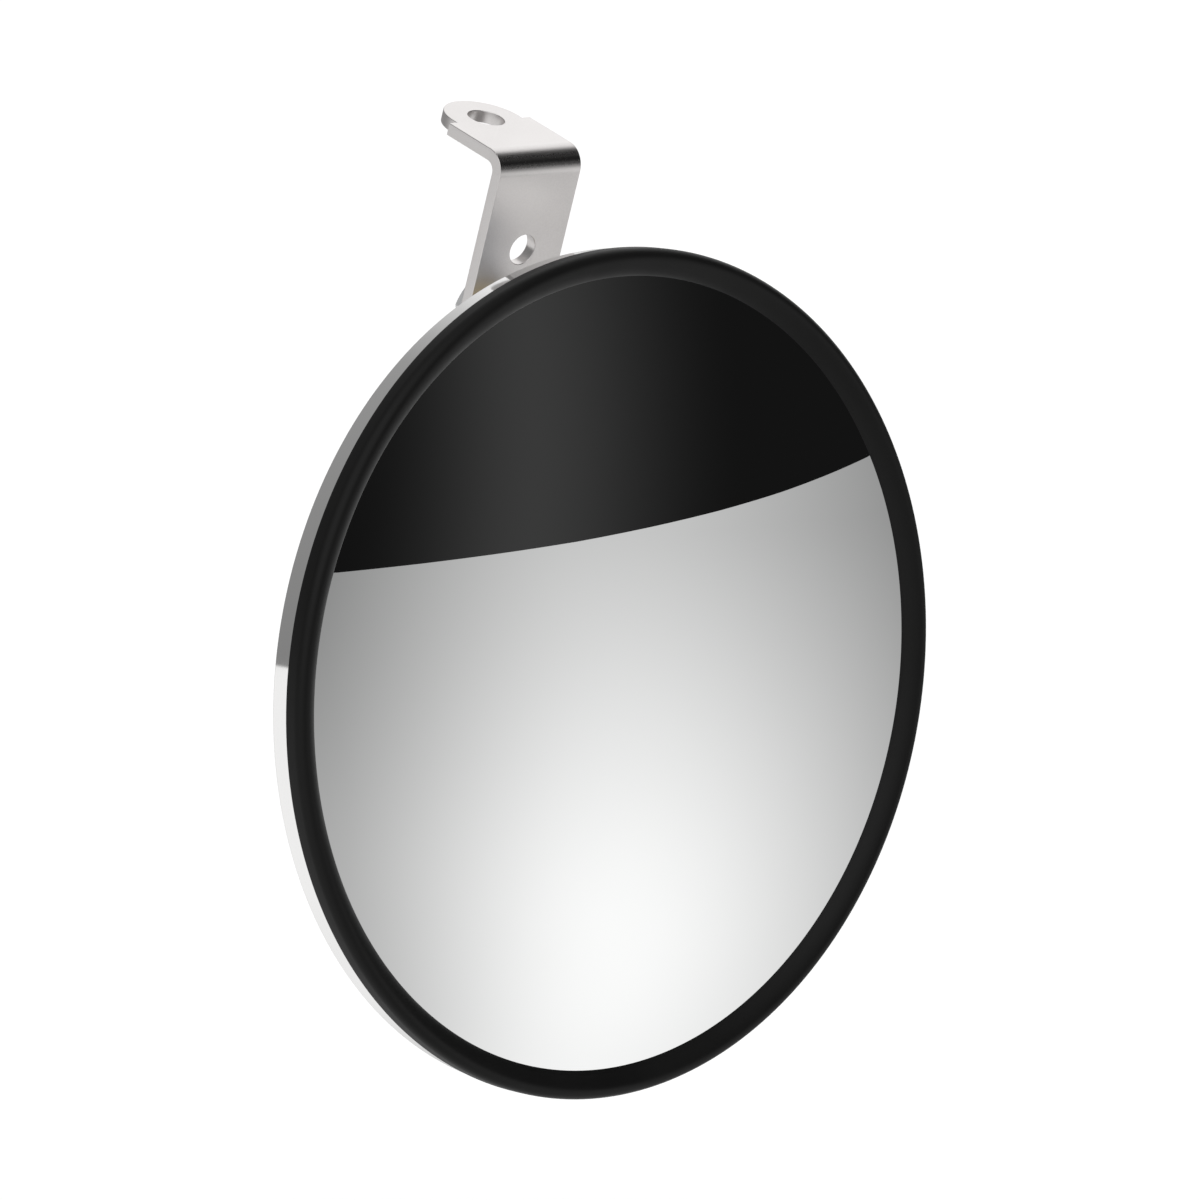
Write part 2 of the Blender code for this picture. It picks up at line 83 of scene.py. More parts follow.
gasket_low, gasket_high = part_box("edge_gasket")
BEAD_RADIUS = 2.2 * MM
BEAD_CREST = 1.0 * MM
MIRROR = Vector((
    0.5 * (gasket_low.x + gasket_high.x),
    gasket_low.y + BEAD_RADIUS + BEAD_CREST,
    0.5 * (gasket_low.z + gasket_high.z),
))
EDGE_RADIUS = 0.5 * (gasket_high.x - gasket_low.x)

# BACK points a piece's Z axis to +Y
BACK = Matrix.Rotation(math.radians(-90), 4, "X")
HEAD_PLACE = Matrix.Translation(MIRROR) @ BACK
BALL_PLACE = Matrix.Translation(BALL) @ BACK
STUD_PLACE = Matrix.Translation(BALL) @ Matrix.Rotation(LEAN, 4, "X") @ BACK
BRACKET_PLACE = Matrix.Rotation(LEAN, 4, "X")

# The bracket's own frame has its origin on the plate's top face and its Z square to it. The leg's front face
# lies there at y = LEG_FRONT, and the ball's centre BALL_REACH in front of that face and STUD_DROP down.
LEG_FRONT = -11.0 * MM
SHEET = 3.0 * MM
BALL_REACH = 16.5 * MM
STUD_DROP = 42.3 * MM


# ---------------------------------------------------------------- outlines

def arc(centre, radius, start, end, count):
    points = []
    for index in range(count + 1):
        angle = math.radians(start + (end - start) * index / count)
        points.append((centre[0] + radius * math.cos(angle), centre[1] + radius * math.sin(angle)))
    return points


def circle(centre, radius, count):
    return arc(centre, radius, 0, 360 - 360 / count, count - 1)


def step_from(point, length, degrees):
    angle = math.radians(degrees)
    return (point[0] + length * math.cos(angle), point[1] + length * math.sin(angle))


def curved(start, pull, pull_end, end, count):
    """Points on the cubic curve that leaves start towards pull and reaches end from pull_end."""
    points = []
    for index in range(count + 1):
        along = index / count
        left = 1 - along
        shares = (left ** 3, 3 * along * left ** 2, 3 * along * along * left, along ** 3)
        parts = list(zip(shares, (start, pull, pull_end, end)))
        points.append(tuple(sum(share * corner[axis] for share, corner in parts) for axis in (0, 1)))
    return points


ALMOST_STRAIGHT = math.radians(88)


def rounded(points, closed=True, steps=5):
    """An outline whose points may carry a third number, the radius that rounds them."""
    made = []
    count = len(points)
    for index, point in enumerate(points):
        radius = point[2] if len(point) > 2 else 0.0
        if radius <= 0.0 or (not closed and index in (0, count - 1)):
            made.append((point[0], point[1]))
            continue
        here = Vector(point[:2])
        before = Vector(points[index - 1][:2]) - here
        after = Vector(points[(index + 1) % count][:2]) - here
        half = 0.5 * before.angle(after)
        if half > ALMOST_STRAIGHT:
            made.append((point[0], point[1]))
            continue
        reach = min(radius / math.tan(half), 0.49 * before.length, 0.49 * after.length)
        radius = reach * math.tan(half)
        centre = here + (before.normalized() + after.normalized()).normalized() * (radius / math.sin(half))
        start = here + before.normalized() * reach - centre
        end = here + after.normalized() * reach - centre
        turn = start.angle_signed(end)
        for step in range(steps + 1):
            spoke = start.copy()
            spoke.rotate(Matrix.Rotation(-turn * step / steps, 2))
            made.append(tuple(centre + spoke))
    return made


# ---------------------------------------------------------------- meshes

def finish_mesh(name, bm, place, mat, angle=32.0):
    """Turns a bmesh into a shown object with that place and material."""
    bmesh.ops.recalc_face_normals(bm, faces=bm.faces)
    mesh = bpy.data.meshes.new(name)
    bm.to_mesh(mesh)
    bm.free()
    obj = bpy.data.objects.new(name, mesh)
    bpy.context.scene.collection.objects.link(obj)
    obj.matrix_world = place
    if mat:
        mesh.materials.append(mat)
    mesh.shade_smooth()
    mesh.set_sharp_from_angle(angle=math.radians(angle))
    return obj


def wall(bm, here, there):
    """Faces between two rows of vertices. Where the rows share a vertex, the face is a triangle."""
    for index in range(len(here)):
        after = (index + 1) % len(here)
        corners = list(dict.fromkeys([here[index], here[after], there[after], there[index]]))
        if len(corners) > 2:
            bm.faces.new(corners)


ON_AXIS = 1e-7


def ring_vert(bm, point, angle, axis_verts):
    radius, height = point
    if radius > ON_AXIS:
        return bm.verts.new((radius * math.cos(angle), radius * math.sin(angle), height))
    key = round(height, 8)
    if key not in axis_verts:
        axis_verts[key] = bm.verts.new((0.0, 0.0, height))
    return axis_verts[key]


def revolved(outline_at, steps):
    """A closed outline of (radius, height) points turned round Z. The outline may change with the angle."""
    bm = bmesh.new()
    axis_verts = {}
    rows = []
    for step in range(steps):
        angle = TAU * step / steps
        rows.append([ring_vert(bm, point, angle, axis_verts) for point in outline_at(angle)])
    for step in range(steps):
        wall(bm, rows[step], rows[(step + 1) % len(rows)])
    return bm


def turned(name, outline, place, mat, steps=96, angle=32.0):
    return finish_mesh(name, revolved(lambda turn: outline, steps), place, mat, angle)


def with_modifiers(obj):
    """The object with its modifiers applied to its mesh."""
    graph = bpy.context.evaluated_depsgraph_get()
    mesh = bpy.data.meshes.new_from_object(obj.evaluated_get(graph), depsgraph=graph)
    obj.modifiers.clear()
    old = obj.data
    obj.data = mesh
    bpy.data.meshes.remove(old)
    return obj


def prism(outline, start, end):
    bm = bmesh.new()
    low = [bm.verts.new((x, y, start)) for x, y in outline]
    high = [bm.verts.new((x, y, end)) for x, y in outline]
    bm.faces.new(low)
    bm.faces.new(high)
    wall(bm, low, high)
    return bm


def cut_by(obj, tools):
    """Cuts the tools from obj, applies the result and removes the tools."""
    for tool in tools:
        modifier = obj.modifiers.new(tool.name, "BOOLEAN")
        modifier.operation = "DIFFERENCE"
        modifier.solver = "EXACT"
        modifier.object = tool
    with_modifiers(obj)
    for tool in tools:
        mesh = tool.data
        bpy.data.objects.remove(tool)
        bpy.data.meshes.remove(mesh)
    return obj


def even_normals(obj, angle=32.0):
    """Smooth shading whose normals follow the larger faces, so that flat faces stay flat to their edges."""
    obj.data.shade_smooth()
    obj.data.set_sharp_from_angle(angle=math.radians(angle))
    modifier = obj.modifiers.new("normals", "WEIGHTED_NORMAL")
    modifier.mode = "FACE_AREA"
    modifier.weight = 80
    modifier.keep_sharp = True
    return with_modifiers(obj)


def bevelled(obj, width, segments=3, angle=30.0):
    modifier = obj.modifiers.new("edges", "BEVEL")
    modifier.width = width
    modifier.segments = segments
    modifier.limit_method = "ANGLE"
    modifier.angle_limit = math.radians(angle)
    with_modifiers(obj)
    return even_normals(obj, 40.0)


def stands_for(obj, body, slot, *nodes):
    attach(obj, body)
    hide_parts(*nodes)
    return obj


# ---------------------------------------------------------------- materials

class Nodes:
    """A node tree, with short calls for the nodes that the materials and the studio share."""

    def __init__(self, tree):
        self.tree = tree

    def plug(self, value, socket):
        """Links an output to the socket, or sets the socket to a plain value."""
        if isinstance(value, bpy.types.NodeSocket):
            self.tree.links.new(value, socket)
        else:
            socket.default_value = value

    def node(self, kind, **inputs):
        made = self.tree.nodes.new(kind)
        for name, value in inputs.items():
            self.plug(value, made.inputs[name.replace("_", " ")])
        return made

    def math(self, operation, a, b=0.0, clamp=False):
        made = self.node("ShaderNodeMath")
        made.operation = operation
        made.use_clamp = clamp
        self.plug(a, made.inputs[0])
        self.plug(b, made.inputs[1])
        return made.outputs["Value"]

    def ramp(self, value, stops, ease="LINEAR"):
        """Maps a number from 0 to 1 through stops of (position, value or colour)."""
        made = self.node("ShaderNodeValToRGB", Fac=value)
        made.color_ramp.interpolation = ease
        points = made.color_ramp.elements
        while len(points) < len(stops):
            points.new(0.5)
        for point, (position, level) in zip(points, stops):
            point.position = position
            colour = level if isinstance(level, tuple) else (level, level, level)
            point.color = (*colour, 1.0)
        return made.outputs["Color"]


class Look(Nodes):
    """A material with one Principled shader."""

    def __init__(self, name, colour, roughness, metallic=0.0):
        self.mat = bpy.data.materials.new(name)
        self.mat.use_nodes = True
        super().__init__(self.mat.node_tree)
        self.shader = self.tree.nodes["Principled BSDF"]
        self.set("Base Color", (*colour, 1.0))
        self.set("Roughness", roughness)
        self.set("Metallic", metallic)

    def set(self, socket, value):
        self.shader.inputs[socket].default_value = value

    def link(self, output, socket):
        self.plug(output, self.shader.inputs[socket])

    def coordinates(self, scale=(1.0, 1.0, 1.0), kind="Object"):
        source = self.node("ShaderNodeTexCoord")
        mapping = self.node("ShaderNodeMapping", Vector=source.outputs[kind], Scale=scale)
        return mapping.outputs["Vector"]

    def noise(self, vector, scale, detail=3.0, rough=0.55):
        made = self.node("ShaderNodeTexNoise", Vector=vector, Scale=scale, Detail=detail, Roughness=rough)
        return made.outputs["Fac"]

    def mix(self, share, a, b):
        """Mixes two colours. Inputs 6 and 7 and output 2 are the node's colour sockets."""
        made = self.node("ShaderNodeMix")
        made.data_type = "RGBA"
        self.plug(share, made.inputs["Factor"])
        self.plug(a if not isinstance(a, tuple) else (*a, 1.0), made.inputs[6])
        self.plug(b if not isinstance(b, tuple) else (*b, 1.0), made.inputs[7])
        return made.outputs[2]

    def bump(self, height, distance, strength):
        made = self.node("ShaderNodeBump", Height=height, Distance=distance, Strength=strength)
        return made.outputs["Normal"]


def edge_wear(look):
    """A mask that is 1 along convex edges, from the surface's pointiness."""
    geometry = look.node("ShaderNodeNewGeometry")
    return look.ramp(geometry.outputs["Pointiness"], [(0.50, 0.0), (0.56, 1.0)])


def facing_up(look):
    """How far the surface faces up in its object's own frame, or 0 where it doesn't face forward."""
    split = look.node("ShaderNodeSeparateXYZ", Vector=look.coordinates(kind="Normal"))
    sideways = look.math("ABSOLUTE", split.outputs["X"])
    up = look.math("SUBTRACT", split.outputs["Z"], look.math("MULTIPLY", sideways, 1.5))
    return look.math("MULTIPLY", up, look.math("LESS_THAN", split.outputs["Y"], -0.2))


def satin_steel():
    """Satin steel, smoother where the press has stretched it round the bend, with painted shade that darkens
    the bend's band.
    """
    look = Look("satin_steel", (0.60, 0.59, 0.58), 0.30, 1.0)
    up = facing_up(look)
    # Painted shade: a factor below 1 that darkens the base colour in two bands round the bend, picked out by
    # how far the surface faces up.
    painted_bend_shade = look.ramp(up, [
        (0.0, 1.0), (0.12, 1.0), (0.20, 0.92), (0.25, 0.78), (0.30, 0.60), (0.34, 0.51), (0.38, 0.47),
        (0.42, 0.64), (0.46, 0.94), (0.50, 0.94), (0.54, 0.66), (0.58, 0.46), (0.63, 0.60), (0.69, 1.0),
    ])
    closed = look.ramp(up, [(0.25, 0.0), (0.4, 0.075), (0.7, 0.075), (0.97, 0.0)])
    fine = look.noise(look.coordinates(), 2600.0, 2.0)
    grain = look.noise(look.coordinates((2600.0, 70.0, 70.0)), 1.0, 3.0)
    patches = look.noise(look.coordinates(), 90.0, 3.0)
    both = look.math("ADD", look.math("MULTIPLY", fine, 0.6), look.math("MULTIPLY", grain, 0.4))
    patchy = look.ramp(patches, [(0.3, 0.0), (0.7, 1.0)])
    colour = look.mix(patchy, (0.663, 0.639, 0.631), (0.691, 0.667, 0.659))
    speckle = look.ramp(fine, [(0.35, 0.0), (0.65, 1.0)])
    colour = look.mix(look.math("MULTIPLY", speckle, 0.24), colour, (0.86, 0.84, 0.83))
    colour = look.mix(look.math("MULTIPLY", edge_wear(look), 0.35), colour, (0.80, 0.78, 0.77))
    # Painted shade on the bend: the colour is mixed towards black by that factor.
    colour = look.mix(painted_bend_shade, (0.0, 0.0, 0.0), colour)
    look.link(colour, "Base Color")
    rough = look.ramp(both, [(0.25, 0.30), (0.75, 0.36)])
    look.link(look.math("SUBTRACT", rough, closed), "Roughness")
    look.link(look.bump(both, 0.004 * MM, 0.5), "Normal")
    return look.mat


def polished_steel():
    look = Look("polished_steel", (0.80, 0.795, 0.79), 0.05, 1.0)
    lines = look.noise(look.coordinates((30.0, 30.0, 2400.0)), 1.0, 2.0)
    smudge = look.noise(look.coordinates(), 38.0, 4.0)
    look.link(look.mix(smudge, (0.905, 0.90, 0.895), (0.93, 0.926, 0.92)), "Base Color")
    both = look.math("ADD", look.math("MULTIPLY", smudge, 0.7), look.math("MULTIPLY", lines, 0.3))
    look.link(look.ramp(both, [(0.3, 0.035), (0.75, 0.085)]), "Roughness")
    look.link(look.bump(lines, 0.0006 * MM, 0.3), "Normal")
    return look.mat


def silvered_glass():
    look = Look("silvered_glass", (0.93, 0.935, 0.93), 0.0, 1.0)
    haze = look.noise(look.coordinates(), 24.0, 4.0)
    look.link(look.mix(haze, (0.925, 0.93, 0.925), (0.94, 0.945, 0.942)), "Base Color")
    look.link(look.ramp(haze, [(0.35, 0.002), (0.8, 0.008)]), "Roughness")
    return look.mat


def black_rubber():
    look = Look("black_rubber", (0.012, 0.012, 0.012), 0.5)
    pores = look.noise(look.coordinates(), 2200.0, 3.0)
    marks = look.noise(look.coordinates(), 60.0, 4.0)
    look.link(look.mix(marks, (0.0048, 0.0048, 0.0048), (0.0064, 0.0064, 0.0062)), "Base Color")
    look.link(look.ramp(marks, [(0.3, 0.42), (0.75, 0.52)]), "Roughness")
    look.link(look.bump(pores, 0.01 * MM, 0.35), "Normal")
    look.set("Specular IOR Level", 0.16)
    return look.mat


def grey_foam():
    look = Look("grey_foam", (0.16, 0.16, 0.17), 0.95)
    cells = look.node("ShaderNodeTexVoronoi", Vector=look.coordinates(), Scale=900.0)
    spread = look.noise(look.coordinates(), 120.0, 3.0)
    look.link(look.mix(cells.outputs["Distance"], (0.09, 0.09, 0.10), (0.20, 0.20, 0.21)), "Base Color")
    look.link(look.ramp(spread, [(0.3, 0.88), (0.7, 0.98)]), "Roughness")
    look.link(look.bump(cells.outputs["Distance"], 0.15 * MM, 0.8), "Normal")
    return look.mat


def white_nylon():
    look = Look("white_nylon", (0.74, 0.72, 0.66), 0.45)
    flow = look.noise(look.coordinates(), 260.0, 3.0)
    look.link(look.mix(flow, (0.70, 0.68, 0.62), (0.79, 0.77, 0.71)), "Base Color")
    look.link(look.ramp(flow, [(0.3, 0.38), (0.7, 0.50)]), "Roughness")
    look.link(look.bump(flow, 0.02 * MM, 0.2), "Normal")
    look.set("Subsurface Weight", 0.15)
    look.set("Subsurface Scale", 0.001)
    return look.mat


def plated(name, dull, bright, tint):
    """Zinc plate on steel: fine crystals, cloudy colour and brighter worn edges."""
    look = Look(name, bright, 0.3, 0.6)
    cloud = look.noise(look.coordinates(), 180.0, 4.0)
    crystals = look.noise(look.coordinates(), 2400.0, 2.0)
    shade = look.ramp(cloud, [(0.32, 0.0), (0.68, 1.0)])
    colour = look.mix(shade, dull, bright)
    drift = look.noise(look.coordinates(), 75.0, 2.0)
    colour = look.mix(look.ramp(drift, [(0.45, 0.0), (0.75, 0.6)]), colour, tint)
    colour = look.mix(look.math("MULTIPLY", edge_wear(look), 0.5), colour, (0.74, 0.74, 0.73))
    look.link(colour, "Base Color")
    look.link(look.ramp(cloud, [(0.3, 0.32), (0.7, 0.46)]), "Roughness")
    look.link(look.bump(crystals, 0.006 * MM, 0.4), "Normal")
    return look.mat


SATIN = satin_steel()
POLISHED = polished_steel()
GLASS = silvered_glass()
RUBBER = black_rubber()
FOAM = grey_foam()
NYLON = white_nylon()
ZINC = plated("zinc_plate", (0.66, 0.67, 0.69), (0.76, 0.77, 0.79), (0.70, 0.73, 0.79))
YELLOW = plated("yellow_zinc", (0.74, 0.54, 0.15), (0.88, 0.68, 0.22), (0.76, 0.62, 0.32))


# ---------------------------------------------------------------- mirror head

SIGHT_RADIUS = 93.7 * MM
LENS_RADIUS = 97.0 * MM
LENS_THICKNESS = 3.0 * MM
LENS_CHAMFER = 0.35 * MM
LENS_CURVE = 400.0 * MM
LENS_CENTRE = math.sqrt(LENS_CURVE ** 2 - SIGHT_RADIUS ** 2)
LENS_CLEARANCE = 0.02 * MM
BEAD_BACK = 1.9 * MM
BEAD_INSET = 0.35 * MM
BEAD_START = 250
GASKET_LEG_RADIUS = 94.2 * MM
SHELL_RADIUS = 99.3 * MM
SHELL_SHEET = 0.8 * MM
SHELL_STEP_RADIUS = 96.4 * MM
SHELL_STEP_DEPTH = 7.1 * MM
SHELL_BACK_RADIUS = 93.8 * MM
SHELL_BACK_DEPTH = 10.2 * MM
SHELL_CROWN_FOOT = 51.0 * MM
SHELL_CROWN_RADIUS = 46.2 * MM
SHELL_CROWN_DEPTH = 13.4 * MM
PAD_RADIUS = 39.4 * MM
PAD_BULGE = 0.6 * MM
PAD_CLEARANCE = 0.05 * MM
BIG_STEPS = 256


def lens_face(radius, offset=0.0):
    return LENS_CENTRE - math.sqrt((LENS_CURVE - offset) ** 2 - radius ** 2)


def mirror_lens():
    count = 24
    radii = [(LENS_RADIUS - 2 * LENS_CHAMFER) * index / count for index in range(count + 1)]
    radii.append(LENS_RADIUS - LENS_CHAMFER)
    front = [(radius, lens_face(radius)) for radius in radii]
    back = [(radius, lens_face(radius, LENS_THICKNESS)) for radius in reversed(radii)]
    side = [(LENS_RADIUS, front[-1][1] + LENS_CHAMFER), (LENS_RADIUS, back[0][1] - LENS_CHAMFER)]
    obj = turned("convex_glass", front + side + back, HEAD_PLACE, GLASS, BIG_STEPS, 20.0)
    stands_for(obj, "mirror_head", "silvered_glass", "mirror_lens")


def edge_gasket():
    """The rubber edge: a lip on the glass, a dome and a bead outside, and a leg behind the glass."""
    groove = LENS_RADIUS + GAP
    web = SHELL_RADIUS - SHELL_SHEET - GAP
    leg = SHELL_STEP_DEPTH - SHELL_SHEET - GAP
    crest = arc((EDGE_RADIUS - BEAD_RADIUS, -BEAD_CREST), BEAD_RADIUS, BEAD_START, 360, 22)
    foot = SIGHT_RADIUS - BEAD_INSET
    lip = (foot, lens_face(foot) - LENS_CLEARANCE)
    rise = step_from(lip, 1.3 * MM, -62)
    near = step_from(crest[0], 1.5 * MM, BEAD_START - 90)
    dome = curved(lip, rise, near, crest[0], 16)
    side = [(EDGE_RADIUS, BEAD_BACK - 0.1 * MM, 0.4 * MM), (EDGE_RADIUS - 0.5 * MM, BEAD_BACK, 0.1 * MM)]
    inside = [(web, BEAD_BACK, 0.1 * MM), (web, leg, 0.2 * MM), (GASKET_LEG_RADIUS, leg, 0.2 * MM)]
    slot = [
        (GASKET_LEG_RADIUS, lens_face(GASKET_LEG_RADIUS, LENS_THICKNESS) + GAP),
        (groove, lens_face(groove, LENS_THICKNESS) + GAP, 0.1 * MM),
        (groove, lens_face(groove) - LENS_CLEARANCE, 0.05 * MM),
    ]
    outline = rounded(dome[:-1] + crest + side + inside + slot)
    obj = turned("rubber_edge", outline, HEAD_PLACE, RUBBER, BIG_STEPS, 40.0)
    obj.visible_glossy = False
    stands_for(obj, "mirror_head", "black_rubber", "edge_gasket")


def shell_face(inset, wall_bend, step_bend, back_bend, crown_bend):
    """A face of the pressed shell, inset from its outside. The bends are the radii of its corners."""
    shift = 0.5 * inset
    return rounded([
        (SHELL_RADIUS - inset, BEAD_BACK + GAP),
        (SHELL_RADIUS - inset, SHELL_STEP_DEPTH - inset, wall_bend),
        (SHELL_STEP_RADIUS - shift, SHELL_STEP_DEPTH - inset, step_bend),
        (SHELL_BACK_RADIUS - shift, SHELL_BACK_DEPTH - inset, back_bend),
        (SHELL_CROWN_FOOT - shift, SHELL_BACK_DEPTH - inset, crown_bend),
        (SHELL_CROWN_RADIUS - shift, SHELL_CROWN_DEPTH - inset, crown_bend),
        (0.0, SHELL_CROWN_DEPTH - inset),
    ], closed=False, steps=8)


def shell_outline():
    outside = shell_face(0.0, 0.25 * MM, 0.9 * MM, 1.2 * MM, 2.2 * MM)
    inside = shell_face(SHELL_SHEET, 0.2 * MM, 0.6 * MM, 0.8 * MM, 1.8 * MM)
    return outside + inside[::-1]


# ---------------------------------------------------------------- ball socket

BALL_DEPTH = BALL.y - MIRROR.y
FLANGE_RADIUS = 18.0 * MM
FLANGE_SHEET = 1.5 * MM
BASE_SHEET = 1.2 * MM
SEAL_SHEET = 0.6 * MM
STIFFENER_SHEET = 1.5 * MM
CAP_RADIUS = 11.0 * MM
CAP_TOP_RADIUS = 9.2 * MM
CAP_MOUTH_RADIUS = 8.1 * MM
CAP_SHOULDER = 4.2 * MM
CAP_TOP = 5.5 * MM
BORE_RADIUS = 9.9 * MM
CUP_RADIUS = 9.6 * MM
CUP_HOLE_RADIUS = 3.0 * MM
SEAT_RADIUS = 8.0 * MM
BALL_RADIUS = 6.5 * MM
WAVE_SHEET = 0.3 * MM
WAVE_LIFT = 0.15 * MM
WAVE_HOLE_RADIUS = 5.2 * MM
WAVE_RADIUS = 8.6 * MM
SCREW_CIRCLE = 14.6 * MM
SCREW_ANGLES = (-90, 30, 150)
SCREW_RADIUS = 1.75 * MM
SCREW_PITCH = 0.6 * MM
SCREW_HOLE_RADIUS = 2.1 * MM
SCREW_HEAD_RADIUS = 3.2 * MM
SCREW_HEAD_HEIGHT = 2.1 * MM
SCREW_NUT_FLATS = 6.0 * MM
SCREW_NUT_HEIGHT = 2.8 * MM
SCREW_TIP = 0.6 * MM
SCREW_SHANK = 2.2 * MM
DRILL_TURN = 0.05
NUT_TURN = 0.3
RECESS_TURN = 47

# Depths where the stacked plates start, from the ball's centre
STIFFENER = SHELL_BACK_DEPTH - SHELL_SHEET - GAP - STIFFENER_SHEET - BALL_DEPTH
SEAL = SHELL_BACK_DEPTH + GAP - BALL_DEPTH
BASE = SEAL + SEAL_SHEET + GAP
FLANGE = BASE + BASE_SHEET + GAP
WAVE_MIDDLE = BASE + BASE_SHEET + GAP + WAVE_LIFT + 0.5 * WAVE_SHEET


def screw_spots():
    for number, degrees in enumerate(SCREW_ANGLES, start=1):
        angle = math.radians(degrees)
        yield number, SCREW_CIRCLE * math.cos(angle), SCREW_CIRCLE * math.sin(angle)


def drills(low, high):
    """Cutters for the three screw holes, through depths low to high from the ball's centre."""
    made = []
    for number, x, z in screw_spots():
        place = Matrix.Translation(BALL + Vector((x, 0.0, z))) @ BACK @ Matrix.Rotation(DRILL_TURN, 4, "Z")
        bm = prism(circle((0.0, 0.0), SCREW_HOLE_RADIUS, 40), low, high)
        made.append(finish_mesh("drill_%d" % number, bm, place, None))
    return made


def drilled(obj, low, high):
    cut_by(obj, drills(low, high))
    return bevelled(obj, 0.12 * MM, 2, 40.0)


def back_shell():
    obj = turned("steel_shell", shell_outline(), HEAD_PLACE, POLISHED, BIG_STEPS)
    low = SHELL_BACK_DEPTH - SHELL_SHEET - BALL_DEPTH - MM
    cut_by(obj, drills(low, low + SHELL_SHEET + 2 * MM))
    even_normals(obj)
    stands_for(obj, "mirror_head", "polished_steel", "back_shell")


def foam_pad():
    """Foam disc between the glass and the shell's crown, a little bulged round its side."""
    count = 16
    radii = [PAD_RADIUS * index / count for index in range(count + 1)]
    front = [(radius, lens_face(radius, LENS_THICKNESS) + PAD_CLEARANCE) for radius in radii]
    low = front[-1][1]
    back = SHELL_CROWN_DEPTH - SHELL_SHEET - PAD_CLEARANCE
    side = []
    for index in range(1, 10):
        share = index / 10.0
        side.append((PAD_RADIUS + math.sin(math.pi * share) * PAD_BULGE, low + (back - low) * share))
    outline = front + side + [(PAD_RADIUS, back), (0.0, back)]
    obj = turned("foam_disc", outline, HEAD_PLACE, FOAM, 96)
    stands_for(obj, "mirror_head", "grey_foam", "foam_pad")


def round_plate(name, low, high, radius, bevel, mat, slot, node):
    outline = rounded([(0.0, low), (radius, low, bevel), (radius, high, bevel), (0.0, high)], closed=False)
    obj = turned(name, outline, BALL_PLACE, mat, 128)
    drilled(obj, low - MM, high + MM)
    stands_for(obj, "mirror_head", slot, node)


def socket_plates():
    round_plate("inner_plate", STIFFENER, STIFFENER + STIFFENER_SHEET, FLANGE_RADIUS, 0.3 * MM,
                ZINC, "zinc_plate", "stiffener_plate")
    round_plate("rubber_seal", SEAL, SEAL + SEAL_SHEET, FLANGE_RADIUS + 0.2 * MM, 0.2 * MM,
                RUBBER, "black_rubber", "socket_seal")
    round_plate("base_plate", BASE, BASE + BASE_SHEET, FLANGE_RADIUS, 0.3 * MM,
                ZINC, "zinc_plate", "socket_base")


def socket_cap():
    low = FLANGE
    high = FLANGE + FLANGE_SHEET
    flange = [
        (BORE_RADIUS, low, 0.2 * MM),
        (FLANGE_RADIUS, low, 0.2 * MM),
        (FLANGE_RADIUS, high, 0.4 * MM),
        (CAP_RADIUS, high, 0.35 * MM),
    ]
    shoulder = [
        (CAP_RADIUS, CAP_SHOULDER, 0.5 * MM),
        (CAP_TOP_RADIUS, CAP_TOP, 0.5 * MM),
        (CAP_MOUTH_RADIUS, CAP_TOP, 0.25 * MM),
    ]
    hollow = arc((0.0, 0.0), SEAT_RADIUS + 0.5 * GAP, 35, 0, 12)
    outline = rounded(flange + shoulder + hollow + [(BORE_RADIUS, 0.0, 0.1 * MM)])
    obj = turned("ball_cap", outline, BALL_PLACE, ZINC, 128)
    drilled(obj, low - MM, high + MM)
    stands_for(obj, "mirror_head", "zinc_plate", "socket_cap")


def ring_section(inner, outer, low, high, soft, steps=5):
    """Outline of a washer, its corners rounded by soft."""
    corners = [(inner, low, soft), (outer, low, soft), (outer, high, soft), (inner, high, soft)]
    return rounded(corners, steps=steps)


def wave_washer():
    def outline_at(angle):
        middle = WAVE_MIDDLE + WAVE_LIFT * math.sin(3 * angle)
        low, high = middle - 0.5 * WAVE_SHEET, middle + 0.5 * WAVE_SHEET
        return ring_section(WAVE_HOLE_RADIUS, WAVE_RADIUS, low, high, 0.08 * MM, 3)

    obj = finish_mesh("spring_washer", revolved(outline_at, 96), BALL_PLACE, ZINC)
    stands_for(obj, "mirror_head", "zinc_plate", "wave_washer")


def socket_cup():
    bottom = WAVE_MIDDLE + WAVE_LIFT + 0.5 * WAVE_SHEET + GAP
    radius = SEAT_RADIUS + 0.5 * GAP
    lowest = math.degrees(math.acos(CUP_HOLE_RADIUS / radius))
    hollow = arc((0.0, 0.0), radius, -2, -lowest, 20)
    outside = [
        (CUP_HOLE_RADIUS, bottom, 0.3 * MM),
        (CUP_RADIUS, bottom, 0.5 * MM),
        (CUP_RADIUS, hollow[0][1], 0.2 * MM),
    ]
    obj = turned("pressure_cup", rounded(outside + hollow), BALL_PLACE, NYLON)
    stands_for(obj, "mirror_head", "white_nylon", "socket_cup")


def round_seats():
    for name, node, start, end in (
        ("front_ball_seat", "front_seat", -90.0, -2.5),
        ("rear_ball_seat", "rear_seat", 2.5, 34.0),
    ):
        inside = arc((0.0, 0.0), BALL_RADIUS + 0.4 * GAP, start, end, 24)
        outside = arc((0.0, 0.0), SEAT_RADIUS, end, start, 24)
        obj = turned(name, inside + outside, BALL_PLACE, NYLON)
        stands_for(obj, "ball_seats", "white_nylon", node)


# ---------------------------------------------------------------- threads, nuts and washers

# Shares of the pitch: a thread's depth, and the flat root and the flank in each half of a turn
THREAD_DEPTH = 0.61
THREAD_ROOT = 0.06
THREAD_FLANK = 0.82
THREAD_POINTS = 9
THREAD_GAP = 0.02 * MM


